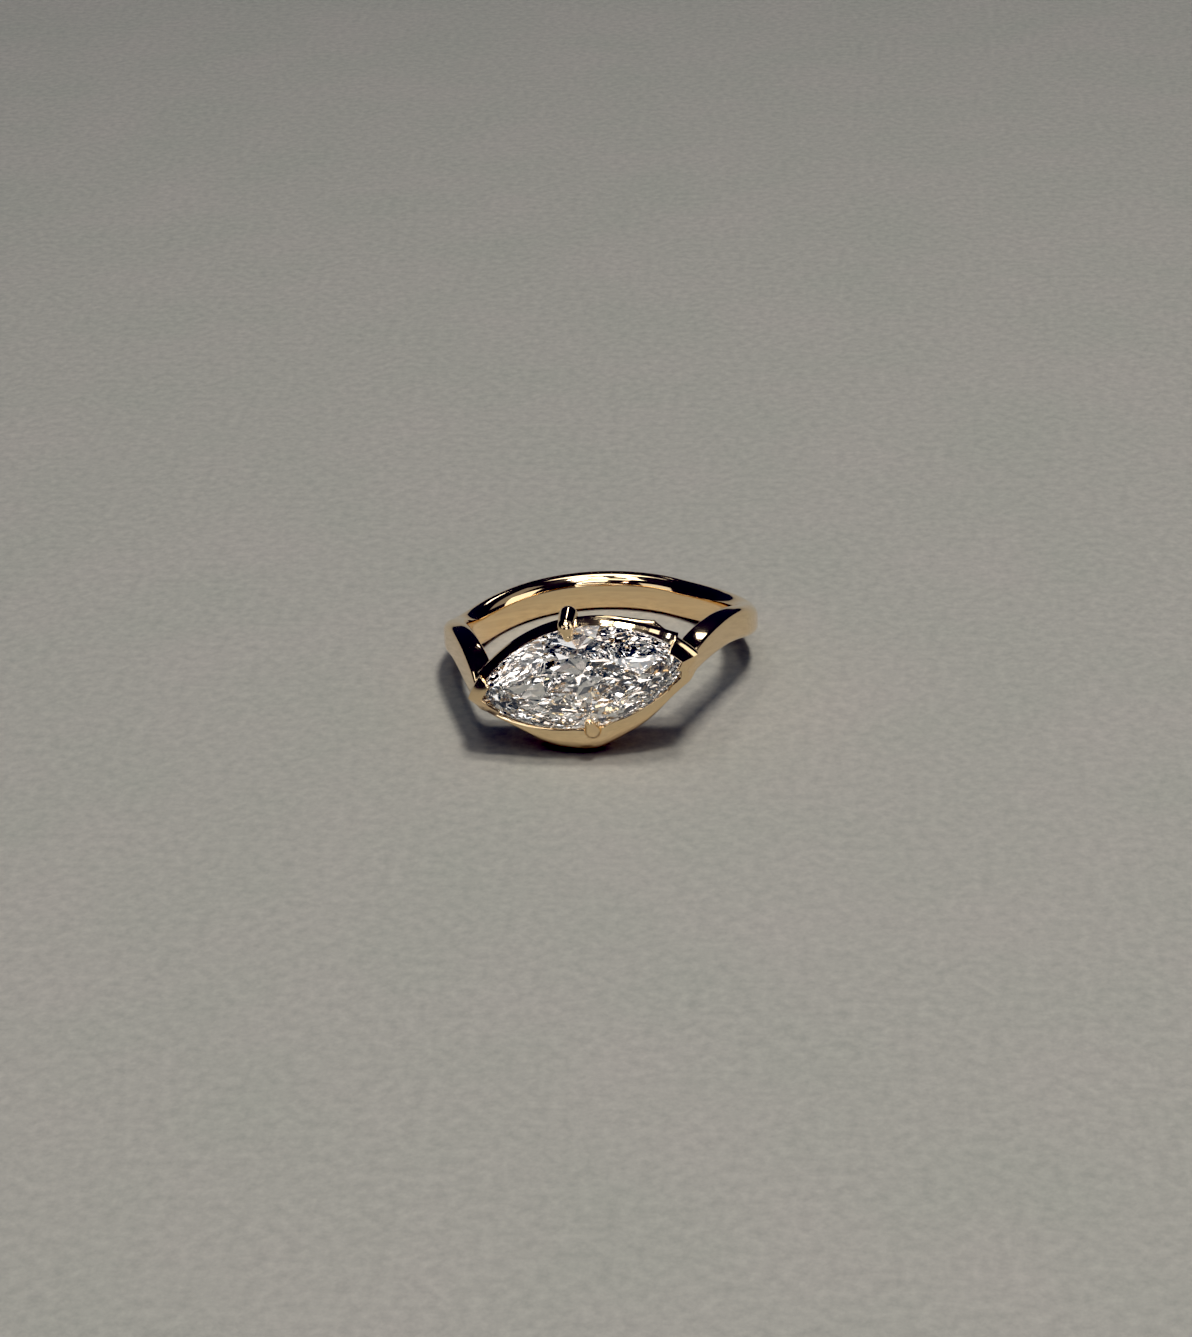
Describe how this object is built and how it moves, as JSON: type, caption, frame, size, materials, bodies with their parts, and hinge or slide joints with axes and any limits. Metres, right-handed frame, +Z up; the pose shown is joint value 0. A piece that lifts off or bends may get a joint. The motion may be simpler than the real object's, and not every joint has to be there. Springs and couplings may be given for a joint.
{
  "type": "marquise engagement ring",
  "caption": "Finger ring whose band sweeps up into a slanted open setting that holds one faceted marquise stone.",
  "frame": {"origin": "on the surface that the ring lies on, at the middle of the ring's overall width and depth", "axes": "+Z up, along the finger axis; -Y towards the stone's table; +X to the right as seen from the stone's side"},
  "size_m": [0.02, 0.023, 0.0097],
  "materials": {
    "gold": "polished yellow gold",
    "diamond": "faceted and polished, near colourless"
  },
  "bodies": {
    "root": {"band_and_setting": "gold", "marquise_stone": "diamond"}
  },
  "joints": []
}
